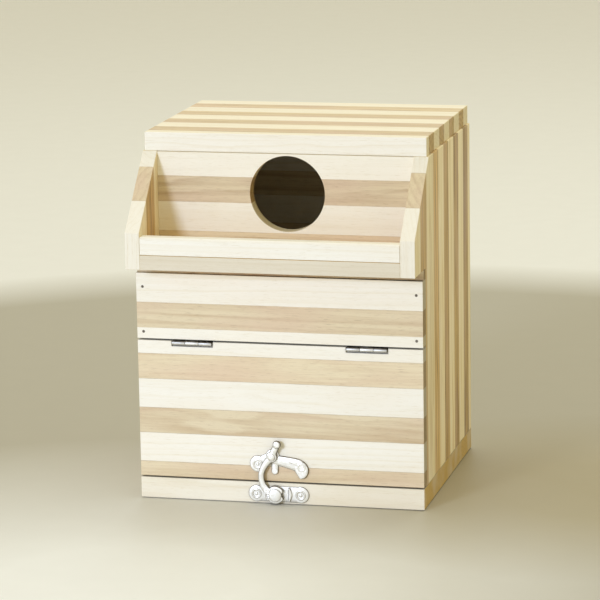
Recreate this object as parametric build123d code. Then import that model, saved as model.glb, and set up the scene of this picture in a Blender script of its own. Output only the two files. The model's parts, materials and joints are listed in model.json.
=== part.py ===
from build123d import *
import math
import os

# Bird nest box of glued-up staves: flat roof, round entrance over a lipped tray, drop-front door.
# Millimetres, +Z up, +X to the right of someone facing the door, +Y towards the back.
# The origin is under the middle of the whole box, on the surface that the box stands on.

# The whole box
overall_width = 145.0
overall_height = 183.3
body_depth = 126.0
wing_reach = 17.8

# Boards
board_thick = 7.4
base_thick = 10.9
roof_thick = 9.35
floor_thick = 7.5
roof_inset = 1.05
roof_setback = 17.8

# Wings and tray
tray_height = 120.5
wing_knee_rise = 18.1
lip_deep = 7.0
lip_tall = 8.8
lip_short = 0.4
lip_round = 1.4

# Staves: each board is glued up from brown and pale ones, in turn; the deep ones are those of the
# roof and the side boards, which follow each other from the front to the back
brown_wide = 12.9
pale_wide = 14.8
deep_brown_wide = 12.4
deep_pale_wide = 13.7
stave_least = 1.2

# Where a whole brown stave starts: from the board's low or front edge, or from the box's front face
door_brown_from = 22.35
strip_brown_from = 5.5
panel_brown_from = 20.65
back_brown_from = 13.1
roof_brown_from = 6.0
side_brown_from = 28.8
wing_brown_from = -3.9
wing_brown_wide = 14.7

# Entrance hole: how much of the panel is left above and below it, and how far off the middle it is
hole_from_roof = 1.25
hole_from_floor = 6.7
hole_shift = 1.2

# Door and the gaps around it
door_gap_low = 0.8
door_gap_back = 0.2
door_gap_top = 0.9
strip_tall = 38.2

# Brads that hold the fixed strip to the side boards
brad_long = 20.0
brad_shank = 1.2
brad_head_across = 1.7
brad_head_thick = 0.6
brad_inset = 3.2
brad_from_top = 12.0
brad_from_low = 3.4

# Hinges: two butt hinges let into the top edge of the door
hinge_long = 20.4
hinge_spread = 88.8
leaf_thick = 0.5
leaf_wide = 6.0
knuckle_across = 2.2
pin_across = 1.1
pin_drop = 0.9
pin_forward = 0.2
knuckle_gap = 0.15
notch_gap = 0.4
leaf_gap = 0.1
web_thick = 1.0
hinge_nail_long = 6.0
hinge_nail_shank = 0.9
hinge_nail_head = 1.8
hinge_nail_head_thick = 0.3
hinge_nail_spread = 12.4

# Clasp: plates on the door and the base board, a swinging arm and a catch stud
clasp_x = -1.3
clasp_width = 30.4
clasp_tall = 32.4
clasp_low = 0.6
plate_thick = 0.9
lower_plate_tall = 9.2
lobe_radius = 3.9
waist_tall = 6.4
rib_wide = 1.0
rib_tall = 6.0
rib_raise = 0.3
ring_outer = 2.4
ring_inner = 1.7
ring_raise = 0.3
upper_lobe_radius = 3.9
tongue_wide = 3.6
saddle_radius = 3.6
pivot_boss_radius = 2.2
pivot_boss_raise = 0.7
pivot_across = 2.2
rivet_head_across = 4.0
rivet_head_thick = 0.7
arm_thick = 1.2
arm_wide = 2.9
arm_pad_radius = 2.7
arm_play = 0.08
neck_wide = 2.6
knob_radius = 1.9
knob_thick = 2.4
knob_round = 0.7
hook_radius = 4.6
stud_across = 3.0
stud_play = 0.25
stud_proud = 0.3
stud_round = 0.4
plate_nail_long = 7.0
plate_nail_shank = 1.1
plate_nail_head = 1.9
plate_nail_head_thick = 0.5

# Play between a round fixed thing and its hole, between a turning thing and its bore,
# and how far a cutter runs past what it cuts
fixed_play = 0.03
turning_play = 0.05
overrun = 2.0

# Places on the clasp, as shares of its width from its middle and of its height from its low edge
pivot_shares = (-0.095, 0.741)
stud_shares = (-0.043, 0.142)
lower_nail_share = 0.372
rib_share = 0.205
left_lobe_shares = (-0.342, 0.611)
right_nail_shares = (0.395, 0.590)
tongue_top_shares = (-0.056, 0.670)
tongue_end_shares = (-0.056, 0.506)
knob_shares = (-0.010, 0.938)
neck_shares = (-0.052, 0.852)
bulge_shares = (-0.288, 0.420)
hook_shares = (-0.150, 0.190)
wing_start_shares = (-0.060, 0.780)
wing_over_shares = (0.293, 0.742)
wing_end_shares = (0.520, 0.540)
wing_tip_shares = (0.405, 0.420)
wing_inner_shares = (0.290, 0.560)
wing_root_shares = (-0.020, 0.620)

# Worked out from the sizes above
overall_depth = body_depth + wing_reach
front_y = wing_reach - overall_depth / 2
back_y = overall_depth / 2
half_width = overall_width / 2
inner_half = half_width - board_thick
roof_low = overall_height - roof_thick
floor_top = tray_height + floor_thick
panel_y = front_y + roof_setback
strip_low = tray_height - strip_tall
door_top = strip_low - door_gap_top
door_low = base_thick + door_gap_low
hole_top = roof_low - hole_from_roof
hole_low = floor_top + hole_from_floor
hole_across = hole_top - hole_low
hole_z = (hole_top + hole_low) / 2
pin_y = front_y - pin_forward
pin_z = door_top - pin_drop


def block(x_span, y_span, z_span):
    """A rectangular solid between two values on each axis."""
    size = [span[1] - span[0] for span in (x_span, y_span, z_span)]
    middle = [(span[1] + span[0]) / 2 for span in (x_span, y_span, z_span)]
    return Pos(*middle) * Box(*size)


def rod(start, direction, radius, length):
    """A round bar from a point, along a direction."""
    return extrude(Plane(origin=start, z_dir=direction) * Circle(radius), amount=length)


def staves_between(low, high, brown_from, brown=brown_wide, pale=pale_wide):
    """Split a board's width into staves: a list of (from, to, colour); slivers join the next one."""
    pitch = brown + pale
    start = brown_from - pitch * math.ceil((brown_from - low) / pitch)
    spans = []
    while start < high:
        spans.append([start, start + brown, "brown"])
        spans.append([start + brown, start + pitch, "pale"])
        start += pitch
    spans = [[max(a, low), min(b, high), tone] for a, b, tone in spans if b > low and a < high]
    if spans[0][1] - spans[0][0] < stave_least:
        spans = spans[1:]
        spans[0][0] = low
    if spans[-1][1] - spans[-1][0] < stave_least:
        spans = spans[:-1]
        spans[-1][1] = high
    return spans


def cut_into_staves(board, spans, axis):
    """Cut a board along its glue lines, and sort the staves by colour."""
    box = board.bounding_box()
    wide = [(box.min.X - overrun, box.max.X + overrun),
            (box.min.Y - overrun, box.max.Y + overrun),
            (box.min.Z - overrun, box.max.Z + overrun)]
    staves = {"brown": [], "pale": []}
    for low, high, tone in spans:
        limits = list(wide)
        limits[axis] = (low, high)
        staves[tone] += (board & block(*limits)).solids()
    return staves


def save(name, solids):
    """Write one node; a group of separate solids goes in as a compound."""
    export_step(solids[0] if len(solids) == 1 else Compound(solids), f"parts/{name}.step")


# Base board, back board and roof

def make_base(holes):
    """The plain board that everything stands on."""
    base = block((-half_width, half_width), (front_y, back_y), (0, base_thick))
    return base - holes


def make_back():
    """The back board, fitted between the side boards."""
    board = block((-inner_half, inner_half), (back_y - board_thick, back_y), (base_thick, roof_low))
    spans = staves_between(base_thick, roof_low, base_thick + back_brown_from)
    return cut_into_staves(board, spans, 2)


def make_roof():
    """The flat roof board, on top of the side boards, back board and entrance panel."""
    roof_half = half_width - roof_inset
    board = block((-roof_half, roof_half), (panel_y, back_y), (roof_low, overall_height))
    spans = staves_between(panel_y, back_y, panel_y + roof_brown_from, deep_brown_wide, deep_pale_wide)
    return cut_into_staves(board, spans, 1)


# Side boards with their wings

def side_spans():
    """The upright staves of a side board, from the wing's tip to the back."""
    tip = front_y - wing_reach
    brown = front_y + wing_brown_from
    after = brown + wing_brown_wide
    regular = front_y + side_brown_from
    wing = [[tip, brown, "pale"], [brown, after, "brown"], [after, regular, "pale"]]
    return wing + staves_between(regular, back_y, regular, deep_brown_wide, deep_pale_wide)


def make_side(side, holes):
    """One side board; side is -1 for the left one and 1 for the right one."""
    outline = [
        (front_y + board_thick, base_thick),
        (back_y, base_thick),
        (back_y, roof_low),
        (panel_y, roof_low),
        (front_y - wing_reach, tray_height + wing_knee_rise),
        (front_y - wing_reach, tray_height),
        (front_y + board_thick, tray_height),
    ]
    inner = side * inner_half
    corners = [Vector(inner, y, z) for y, z in outline]
    face = make_face(Polyline(*corners, close=True))
    board = extrude(face, amount=board_thick, dir=(side, 0, 0)) - holes
    return cut_into_staves(board, side_spans(), 1)


# Tray and entrance panel

def make_tray_floor():
    """The tray's floor board, between the wings and under the entrance panel."""
    deep = (front_y - wing_reach, panel_y + board_thick)
    return block((-inner_half, inner_half), deep, (tray_height, floor_top))


def make_tray_lip():
    """The strip along the tray's front edge, with its top edges eased."""
    half = inner_half - lip_short
    deep = (front_y - wing_reach, front_y - wing_reach + lip_deep)
    lip = block((-half, half), deep, (floor_top, floor_top + lip_tall))
    long_top_edges = lip.faces().sort_by(Axis.Z)[-1].edges().filter_by(Axis.X)
    return fillet(long_top_edges, lip_round)


def make_entrance_panel():
    """The panel over the tray, with the round entrance hole."""
    board = block((-inner_half, inner_half), (panel_y, panel_y + board_thick), (floor_top, roof_low))
    start = (hole_shift, panel_y - overrun, hole_z)
    board -= rod(start, (0, 1, 0), hole_across / 2, board_thick + overrun * 2)
    spans = staves_between(floor_top, roof_low, floor_top + panel_brown_from)
    return cut_into_staves(board, spans, 2)


# Fixed strip, its brads, and the door

def brad_places():
    """Where the four brads go in."""
    edge = half_width - brad_inset
    heights = (strip_low + brad_from_low, tray_height - brad_from_top)
    return [(x, front_y, z) for x in (-edge, edge) for z in heights]


def headed_pin(place, direction, shank, long, head, head_thick):
    """A nail with a flat head, its head's outer face at the place."""
    return rod(place, direction, head / 2, head_thick) + rod(place, direction, shank / 2, long)


def headed_hole(place, direction, shank, long, head, head_thick):
    """What a nail's hole takes away: the nail itself, grown by the fixed play."""
    grown = headed_pin(place, direction, shank + fixed_play * 2, long + fixed_play,
                       head + fixed_play * 2, head_thick)
    away = [-part * overrun for part in direction]
    outside = [start + step for start, step in zip(place, away)]
    return grown + rod(outside, direction, head / 2 + fixed_play, overrun)


def all_of(make, places, *sizes):
    """The same shape at each place."""
    return [make(place, *sizes) for place in places]


def make_strip(holes):
    """The fixed strip under the tray, nailed to the side boards' front edges."""
    board = block((-half_width, half_width), (front_y, front_y + board_thick), (strip_low, tray_height))
    spans = staves_between(strip_low, tray_height, strip_low + strip_brown_from)
    return cut_into_staves(board - holes, spans, 2)


def make_door(holes):
    """The door, with a let-in place for each hinge in its top edge."""
    deep = (front_y, front_y + board_thick - door_gap_back)
    board = block((-half_width, half_width), deep, (door_low, door_top)) - holes
    reach = hinge_long / 2 + leaf_gap
    knuckle_room = knuckle_across / 2 + notch_gap
    for x in hinge_middles():
        along = (x - reach, x + reach)
        leaf_deep = (front_y - overrun, front_y + leaf_wide + leaf_gap)
        board -= block(along, leaf_deep, (door_top - leaf_thick, door_top + overrun))
        notch_deep = (front_y - overrun, pin_y + knuckle_room)
        board -= block(along, notch_deep, (pin_z - knuckle_room, door_top + overrun))
    return cut_into_staves(board, staves_between(door_low, door_top, door_low + door_brown_from), 2)


# Hinges

def hinge_middles():
    """The middle of each hinge along the box."""
    return (-hinge_spread / 2, hinge_spread / 2)


def knuckle(x_span):
    """One knuckle's outer shape, around the hinge pin's line."""
    return rod((x_span[0], pin_y, pin_z), (1, 0, 0), knuckle_across / 2, x_span[1] - x_span[0])


def pin_bore(x):
    """The bore through a hinge's knuckles."""
    start = (x - hinge_long / 2 - overrun, pin_y, pin_z)
    return rod(start, (1, 0, 0), pin_across / 2 + turning_play, hinge_long + overrun * 2)


def hinge_nail_places(z):
    """The four hinge nails on one level, two to a hinge."""
    y = front_y + (leaf_wide + notch_gap) / 2
    half = hinge_nail_spread / 2
    return [(x + side * half, y, z) for x in hinge_middles() for side in (-1, 1)]


def make_upper_leaf(x, holes):
    """The leaf under the fixed strip, with the middle knuckle."""
    half = hinge_long / 2
    middle = (x - hinge_long / 6 + knuckle_gap / 2, x + hinge_long / 6 - knuckle_gap / 2)
    low = strip_low - leaf_thick
    leaf = block((x - half, x + half), (front_y, front_y + leaf_wide), (low, strip_low))
    web = block(middle, (pin_y - web_thick / 2, pin_y + web_thick / 2), (pin_z, strip_low))
    return leaf + web + knuckle(middle) - pin_bore(x) - holes


def make_lower_leaf(x, holes):
    """The leaf on the door's top edge, with the two outer knuckles."""
    half = hinge_long / 2
    inner = hinge_long / 6 + knuckle_gap / 2
    top = (door_top - leaf_thick, door_top)
    leaf = block((x - half, x + half), (pin_y, front_y + leaf_wide), top)
    room = (pin_y - knuckle_across, pin_y + knuckle_across / 2 + notch_gap)
    leaf -= block((x - inner, x + inner), room, (top[0] - overrun, top[1] + overrun))
    for span in ((x - half, x - inner), (x + inner, x + half)):
        leaf += knuckle(span)
    return leaf - pin_bore(x) - holes


def make_hinge_pin(x):
    """The pin through the three knuckles."""
    return rod((x - hinge_long / 2, pin_y, pin_z), (1, 0, 0), pin_across / 2, hinge_long)


# Clasp: drawn flat on the box's front, then raised from it

def on_clasp(shares):
    """A place on the clasp, in the box's own X and Z."""
    return (clasp_x + shares[0] * clasp_width, clasp_low + shares[1] * clasp_tall)


def raised(sketch, low, high):
    """A flat drawing raised from the box's front face, between two distances from it."""
    plane = Plane(origin=(0, front_y - low, 0), x_dir=(1, 0, 0), z_dir=(0, -1, 0))
    return extrude(plane * sketch, amount=high - low)


def disc(place, radius):
    """A round patch of a drawing."""
    return Pos(*place) * Circle(radius)


def bar(start, end, wide):
    """A straight bar of a drawing with round ends."""
    run = Vector(*end) - Vector(*start)
    middle = (Vector(*start) + Vector(*end)) / 2
    turn = math.degrees(math.atan2(run.Y, run.X))
    straight = Pos(middle.X, middle.Y) * Rot(0, 0, turn) * Rectangle(run.length, wide)
    return straight + disc(start, wide / 2) + disc(end, wide / 2)


def lower_nail_places():
    """The two nail holes of the lower plate."""
    middle_z = clasp_low + lower_plate_tall / 2
    reach = clasp_width * lower_nail_share
    return [(clasp_x - reach, middle_z), (clasp_x + reach, middle_z)]


def upper_nail_places():
    """The two nail holes of the upper plate."""
    return [on_clasp(left_lobe_shares), on_clasp(right_nail_shares)]


def nails_at(make, places):
    """Plate nails, or their holes: low domed heads on the plate, shanks into the wood."""
    out = plate_thick + plate_nail_head_thick
    return [make((x, front_y - out, z), (0, 1, 0), plate_nail_shank, plate_nail_long,
                 plate_nail_head, plate_nail_head_thick) for x, z in places]


def nail_holes(places):
    """Round holes for plate nails, through plate and wood."""
    start_y = front_y - plate_thick - overrun
    deep = overrun + plate_nail_long
    radius = plate_nail_shank / 2 + fixed_play
    return [rod((x, start_y, z), (0, 1, 0), radius, deep) for x, z in places]


def nail_rings(places):
    """The raised ring that is pressed around each nail hole."""
    top = plate_thick + ring_raise
    return [raised(disc(place, ring_outer) - disc(place, ring_inner), 0, top) for place in places]


def make_lower_plate():
    """The plate on the base board's edge: two round ends, a waist and a round middle."""
    ends = lower_nail_places()
    middle = on_clasp(stud_shares)
    flat = bar(ends[0], ends[1], waist_tall) + disc(ends[0], lobe_radius)
    flat += disc(ends[1], lobe_radius) + disc(middle, lower_plate_tall / 2)
    plate = raised(flat, 0, plate_thick)
    for side in (-1, 1):
        x = clasp_x + side * rib_share * clasp_width
        z = ends[0][1]
        rib = Pos(x, z) * Rectangle(rib_wide, min(rib_tall, waist_tall))
        plate += raised(rib, 0, plate_thick + rib_raise)
    for ring in nail_rings(ends):
        plate += ring
    plate -= raised(disc(middle, stud_across / 2 + fixed_play), 0, plate_thick)
    return plate - nail_holes(ends)


def make_stud():
    """The catch stud: a plain round post that the arm's hook slips over."""
    top = arm_back() + arm_thick + stud_proud
    post = raised(disc(on_clasp(stud_shares), stud_across / 2), 0, top)
    rim = post.faces().sort_by(Axis.Y)[0].edges()
    return fillet(rim, stud_round)


def make_upper_plate():
    """The plate on the door: a round left lobe, a curved right wing and a short tongue."""
    lobe = on_clasp(left_lobe_shares)
    pivot = on_clasp(pivot_shares)
    outer = ThreePointArc(on_clasp(wing_start_shares), on_clasp(wing_over_shares),
                          on_clasp(wing_end_shares))
    inner = ThreePointArc(on_clasp(wing_tip_shares), on_clasp(wing_inner_shares),
                          on_clasp(wing_root_shares))
    tip = Line(on_clasp(wing_end_shares), on_clasp(wing_tip_shares))
    root = Line(on_clasp(wing_root_shares), on_clasp(wing_start_shares))
    wing = make_face(Curve() + [outer, tip, inner, root])
    tongue = bar(on_clasp(tongue_top_shares), on_clasp(tongue_end_shares), tongue_wide)
    left = bar(lobe, pivot, saddle_radius * 2 - arm_wide / 2) + disc(lobe, upper_lobe_radius)
    plate = raised(wing + tongue + left + disc(pivot, saddle_radius), 0, plate_thick)
    plate += raised(disc(pivot, pivot_boss_radius), 0, plate_thick + pivot_boss_raise)
    for ring in nail_rings([lobe]):
        plate += ring
    plate -= raised(disc(pivot, pivot_across / 2 + fixed_play), 0, arm_back())
    return plate - nail_holes(upper_nail_places())


def arm_back():
    """How far the back of the arm stands off the box's front face."""
    return plate_thick + pivot_boss_raise + arm_play


def make_arm():
    """The swinging arm: thumb knob, neck, pivot eye, curved shank and open hook."""
    pivot = on_clasp(pivot_shares)
    stud = on_clasp(stud_shares)
    knob = on_clasp(knob_shares)
    shank = ThreePointArc(pivot, on_clasp(bulge_shares), on_clasp(hook_shares))
    neck = ThreePointArc(pivot, on_clasp(neck_shares), knob)
    flat = trace(shank, arm_wide) + trace(neck, neck_wide)
    flat += disc(pivot, arm_pad_radius) + disc(on_clasp(hook_shares), arm_wide / 2)
    flat += disc(stud, hook_radius)
    flat -= disc(pivot, pivot_across / 2 + turning_play)
    flat -= hook_mouth(pivot, stud)
    arm = raised(flat, arm_back(), arm_back() + arm_thick)
    thumb = raised(disc(knob, knob_radius), arm_back(), arm_back() + knob_thick)
    thumb = fillet(thumb.faces().sort_by(Axis.Y)[0].edges(), knob_round)
    return arm + thumb


def hook_mouth(pivot, stud):
    """The hook's mouth: an arc around the pivot, open to the right, so that the arm swings free."""
    reach = (Vector(*stud) - Vector(*pivot)).length
    half = stud_across / 2 + stud_play
    ring = disc(pivot, reach + half) - disc(pivot, reach - half)
    right_of_stud = Pos(stud[0] + reach / 2, stud[1]) * Rectangle(reach, reach)
    return (ring & right_of_stud) + disc(stud, half)


def make_rivet():
    """The rivet that the arm turns on, with its head in front of the arm."""
    pivot = on_clasp(pivot_shares)
    head_from = arm_back() + arm_thick + arm_play
    shank = raised(disc(pivot, pivot_across / 2), 0, head_from)
    head = raised(disc(pivot, rivet_head_across / 2), head_from, head_from + rivet_head_thick)
    head = fillet(head.faces().sort_by(Axis.Y)[0].edges(), rivet_head_thick / 2)
    return shank + head


# Make every node and write it

os.makedirs("parts", exist_ok=True)

brads = all_of(headed_pin, brad_places(), (0, 1, 0), brad_shank, brad_long,
               brad_head_across, brad_head_thick)
brad_holes = all_of(headed_hole, brad_places(), (0, 1, 0), brad_shank, brad_long,
                    brad_head_across, brad_head_thick)
upper_nail_sizes = ((0, 0, 1), hinge_nail_shank, hinge_nail_long, hinge_nail_head,
                    hinge_nail_head_thick)
lower_nail_sizes = ((0, 0, -1), *upper_nail_sizes[1:])
upper_nail_level = hinge_nail_places(strip_low - leaf_thick)
lower_nail_level = hinge_nail_places(door_top)
strip_nail_holes = all_of(headed_hole, upper_nail_level, *upper_nail_sizes)
door_nail_holes = all_of(headed_hole, lower_nail_level, *lower_nail_sizes)
upper_clasp_holes = nail_holes(upper_nail_places())
lower_clasp_holes = nail_holes(lower_nail_places())

save("base_board", [make_base(lower_clasp_holes)])
boards = {
    "back": make_back(),
    "roof": make_roof(),
    "left_side": make_side(-1, brad_holes),
    "right_side": make_side(1, brad_holes),
    "entrance_panel": make_entrance_panel(),
    "front_strip": make_strip(brad_holes + strip_nail_holes),
    "door": make_door(door_nail_holes + upper_clasp_holes),
}
for board_name, staves in boards.items():
    for tone, solids in staves.items():
        save(f"{board_name}_{tone}_staves", solids)
save("tray_floor", [make_tray_floor()])
save("tray_lip", [make_tray_lip()])
save("front_strip_brads", brads)
save("hinge_upper_leaves", [make_upper_leaf(x, strip_nail_holes) for x in hinge_middles()])
save("hinge_lower_leaves", [make_lower_leaf(x, door_nail_holes) for x in hinge_middles()])
save("hinge_pins", [make_hinge_pin(x) for x in hinge_middles()])
save("hinge_upper_nails", all_of(headed_pin, upper_nail_level, *upper_nail_sizes))
save("hinge_lower_nails", all_of(headed_pin, lower_nail_level, *lower_nail_sizes))
save("clasp_lower_plate", [make_lower_plate()])
save("clasp_lower_nails", nails_at(headed_pin, lower_nail_places()))
save("clasp_catch_stud", [make_stud()])
save("clasp_upper_plate", [make_upper_plate()])
save("clasp_upper_nails", nails_at(headed_pin, upper_nail_places()))
save("clasp_arm", [make_arm()])
save("clasp_rivet", [make_rivet()])

print("overall", overall_width, overall_depth, overall_height)
print("entrance hole across", round(hole_across, 3), "at z", round(hole_z, 3))
print("hinge line at y", round(pin_y, 3), "z", round(pin_z, 3))
print("clasp pivot at", [round(value, 3) for value in on_clasp(pivot_shares)])
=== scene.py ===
# %% [markdown]
# A bird nest box of striped timber, dressed in Blender around its CAD model. The CAD model gives
# every board, hinge and clasp its place. This script adds what a solid can't show: grain that runs
# through each stave, eased edges, glue lines, rolled hinges and a soft-edged, plated clasp.
# Every number that places a board or a hinge is read from the CAD nodes, so the two can't drift apart.

# %% Load the frame
import json
import math

import bmesh
import bpy
import numpy as np
from mathutils import Matrix, Vector


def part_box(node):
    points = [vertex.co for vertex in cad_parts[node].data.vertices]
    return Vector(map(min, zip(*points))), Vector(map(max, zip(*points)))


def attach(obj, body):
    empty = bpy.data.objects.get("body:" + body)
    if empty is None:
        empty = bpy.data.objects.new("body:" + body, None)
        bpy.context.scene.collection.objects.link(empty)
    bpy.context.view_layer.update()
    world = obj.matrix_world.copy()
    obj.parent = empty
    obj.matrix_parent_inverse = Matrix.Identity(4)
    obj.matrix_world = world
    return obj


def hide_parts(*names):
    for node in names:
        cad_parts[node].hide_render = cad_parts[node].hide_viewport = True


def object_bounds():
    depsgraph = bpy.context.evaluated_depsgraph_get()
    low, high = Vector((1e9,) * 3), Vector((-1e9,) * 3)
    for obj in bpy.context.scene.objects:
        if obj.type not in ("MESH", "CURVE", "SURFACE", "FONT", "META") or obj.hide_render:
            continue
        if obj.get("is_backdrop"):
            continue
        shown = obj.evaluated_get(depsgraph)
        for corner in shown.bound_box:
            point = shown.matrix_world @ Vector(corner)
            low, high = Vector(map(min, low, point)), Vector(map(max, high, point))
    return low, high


MM = 0.001
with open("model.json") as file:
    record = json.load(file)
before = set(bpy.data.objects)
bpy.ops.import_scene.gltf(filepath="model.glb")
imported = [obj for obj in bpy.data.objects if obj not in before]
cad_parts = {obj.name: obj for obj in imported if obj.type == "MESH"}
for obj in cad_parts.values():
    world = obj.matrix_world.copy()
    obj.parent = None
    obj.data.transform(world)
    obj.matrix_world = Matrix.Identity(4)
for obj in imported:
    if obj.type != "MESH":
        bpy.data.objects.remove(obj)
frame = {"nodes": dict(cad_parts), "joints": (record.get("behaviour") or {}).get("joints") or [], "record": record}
cad_low, cad_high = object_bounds()
print("CAD box in mm", [round(side / MM, 1) for side in cad_high - cad_low])

# %% [markdown]
# The camera stands where the photographer stood. A pinhole camera was fitted to the corners of
# the box in the photograph, which gave its place, three angles and a long lens. A camera could be
# turned by hand until it looks right, but a fitted one also shows which sizes are wrong.

# %% Camera
camera_place = Vector((0.37585, -1.55108, 0.42933))
camera_yaw = math.radians(13.694)
camera_pitch = math.radians(11.911)
camera_roll = math.radians(0.951)
focal_share = 5.34762
sensor_mm = 36


def add_object(name, data):
    """A new object in the scene, around a mesh, a lamp or a camera's lens."""
    made = bpy.data.objects.new(name, data)
    bpy.context.scene.collection.objects.link(made)
    return made


lens = bpy.data.cameras.new("camera")
lens.sensor_width = sensor_mm
lens.lens = focal_share * sensor_mm
camera = add_object("camera", lens)
level = math.pi / 2
turn = Matrix.Rotation(camera_yaw, 4, "Z") @ Matrix.Rotation(level - camera_pitch, 4, "X")
turn = turn @ Matrix.Rotation(-camera_roll, 4, "Z")
camera.matrix_world = Matrix.Translation(camera_place) @ turn
bpy.context.scene.camera = camera
print("camera at", [round(part, 3) for part in camera_place], "with a lens of", round(lens.lens, 1), "mm")

# %% [markdown]
# Materials and Geometry Nodes are both trees of nodes. Linking them by hand in Python hides the
# sums in them, so one small class wraps a socket: adding or multiplying two wrapped sockets adds
# the Math node that does it. Every other node comes from its one method, node, which takes the
# node's type, then its settings, then the values or links of its sockets.

# %% A wrapped socket
class Signal:
    """A socket of a node tree. Sums on it add Math nodes to the tree."""

    def __init__(self, tree, socket=None):
        self.tree = tree
        self.socket = socket

    def node(self, kind, settings=None, sockets=None, out=0):
        """Add a node: settings first, then the values or links of its sockets."""
        made = self.tree.nodes.new(kind)
        for name, value in (settings or {}).items():
            if name == "stops":
                set_stops(made.color_ramp, value)
            else:
                setattr(made, name, value)
        for name, value in (sockets or {}).items():
            socket = pick(made.inputs, name)
            if isinstance(value, Signal):
                value = [value]
            if isinstance(value, list):
                for signal in value:
                    self.tree.links.new(signal.socket, socket)
            else:
                socket.default_value = value
        return Signal(self.tree, pick(made.outputs, out) if made.outputs else None)

    def output(self, name):
        """Another output of the node that this socket belongs to."""
        return Signal(self.tree, pick(self.socket.node.outputs, name))

    def maths(self, operation, *values):
        return self.node("ShaderNodeMath", {"operation": operation}, dict(enumerate(values)))

    def vector(self, operation, *values, out="Vector", **named):
        sockets = {**dict(enumerate(values)), **named}
        return self.node("ShaderNodeVectorMath", {"operation": operation}, sockets, out)

    def scaled(self, by):
        return self.vector("SCALE", self, Scale=by)

    def dot(self, other):
        return self.vector("DOT_PRODUCT", self, other, out="Value")

    def __abs__(self):
        return self.maths("ABSOLUTE", self)

    def __add__(self, other):
        return self.maths("ADD", self, other)

    def __sub__(self, other):
        return self.maths("SUBTRACT", self, other)

    def __rsub__(self, other):
        return self.maths("SUBTRACT", other, self)

    def __mul__(self, other):
        return self.maths("MULTIPLY", self, other)

    def __truediv__(self, other):
        return self.maths("DIVIDE", self, other)

    def __pow__(self, other):
        return self.maths("POWER", self, other)

    __radd__ = __add__
    __rmul__ = __mul__


def pick(sockets, key):
    """A socket by its number, its name or its identifier."""
    if isinstance(key, int):
        return sockets[key]
    for socket in sockets:
        if key == socket.name and socket.enabled:
            return socket
    return next(socket for socket in sockets if key == socket.identifier)


def set_stops(ramp, stops):
    """Give a colour ramp its stops: a list of (place, grey value)."""
    while len(ramp.elements) < len(stops):
        ramp.elements.new(1)
    for element, (place, grey) in zip(ramp.elements, stops):
        element.position = place
        element.color = (grey, grey, grey, 1)


print("a wrapped socket can", [name for name in vars(Signal) if not name.startswith("_")])

# %% [markdown]
# Every material here needs the same few things: colours as a picture shows them, a blend of two of
# them, a mask with soft ends, and noise whose size is known in millimetres. Each is one function.

# %% Colours, masks and noise
def srgb(red, green, blue):
    """A colour as a picture shows it, 0 to 255, turned into the linear one that nodes use."""
    parts = [value / 255 for value in (red, green, blue)]
    linear = [part / 12.92 if part < 0.04045 else ((part + 0.055) / 1.055) ** 2.4 for part in parts]
    return (*linear, 1)


def mix(factor, first, second):
    """Blend two colours; the factor says how much of the second."""
    return factor.node("ShaderNodeMix", {"data_type": "RGBA", "clamp_factor": True},
                       {"Factor_Float": factor, "A_Color": first, "B_Color": second}, "Result_Color")


def between(signal, low, high):
    """0 below low, 1 above high, and an even slope between them."""
    return signal.node("ShaderNodeMapRange", {"clamp": True},
                       {"Value": signal, "From Min": low, "From Max": high}, "Result")


def noise(spot, stretch, detail, rough=0.5):
    """Noise on a place in millimetres, with its own number of cycles per millimetre on each axis."""
    spot = spot.vector("MULTIPLY", spot, stretch)
    return spot.node("ShaderNodeTexNoise", None,
                     {"Vector": spot, "Scale": 1, "Detail": detail, "Roughness": rough}, "Fac")


def open_material(name):
    """A new material, its shader, and a wrapped start for its tree."""
    material = bpy.data.materials.new(name)
    material.use_nodes = True
    tree = material.node_tree
    return material, tree.nodes["Principled BSDF"], Signal(tree)


def paint(shader, colour, rough, height, strength, depth):
    """Link a colour, a roughness and a bump to a shader."""
    bump = height.node("ShaderNodeBump", None, {"Strength": strength, "Distance": depth, "Height": height},
                       "Normal")
    for signal, label in ((colour, "Base Color"), (rough, "Roughness"), (bump, "Normal")):
        signal.tree.links.new(signal.socket, shader.inputs[label])


print("the middle grey of a picture is", round(srgb(128, 128, 128)[0], 3), "in nodes")

# %% [markdown]
# Planed timber shows the tree it came from. Growth rings are thin shells around the middle of the
# trunk, so a lengthwise cut shows them as long streaks and a cross cut as arcs. A picture of grain
# stuck on each face would not agree at the edges. This material works on the solid instead: every
# stave carries its own place inside a trunk, the attribute named log, and the rings, fibres and
# pores are worked out from that. Faces and ends then agree by themselves.

# %% Timber material
# A noise here is: cycles per millimetre along the stave, across it and through it, then its detail
# and its roughness
wander_noise = ((0.016, 0.09, 0.09), 2)
streak_noise = ((0.011, 0.42, 0.42), 3, 0.6)
fibre_noise = ((0.035, 2.2, 2.2), 3, 0.7)
patch_noise = ((0.016, 0.07, 0.07), 1)
pore_noise = ((0.2, 4.2, 4.2), 2)
seam_noise = ((0.09, 0, 0), 2)
noise_middle = 0.5
wander_through = 0.6
faintest_ring = 0.35
patch_span = (0.42, 0.68)
pore_span = 0.1
seam_place = (0.966, 0.99)
seam_breaks = (0.38, 0.6)
sawn_from = (0.75, 0.95)
end_calm = 0.45
warm_contrast = 0.6
timber_relief = {"late": 0.35, "fibre": 0.6, "pore": 0.9}
timber_rough = {"fibre": 0.25, "end": 0.12, "late": 0.08}
timber_depth = 0.08 * MM


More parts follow.
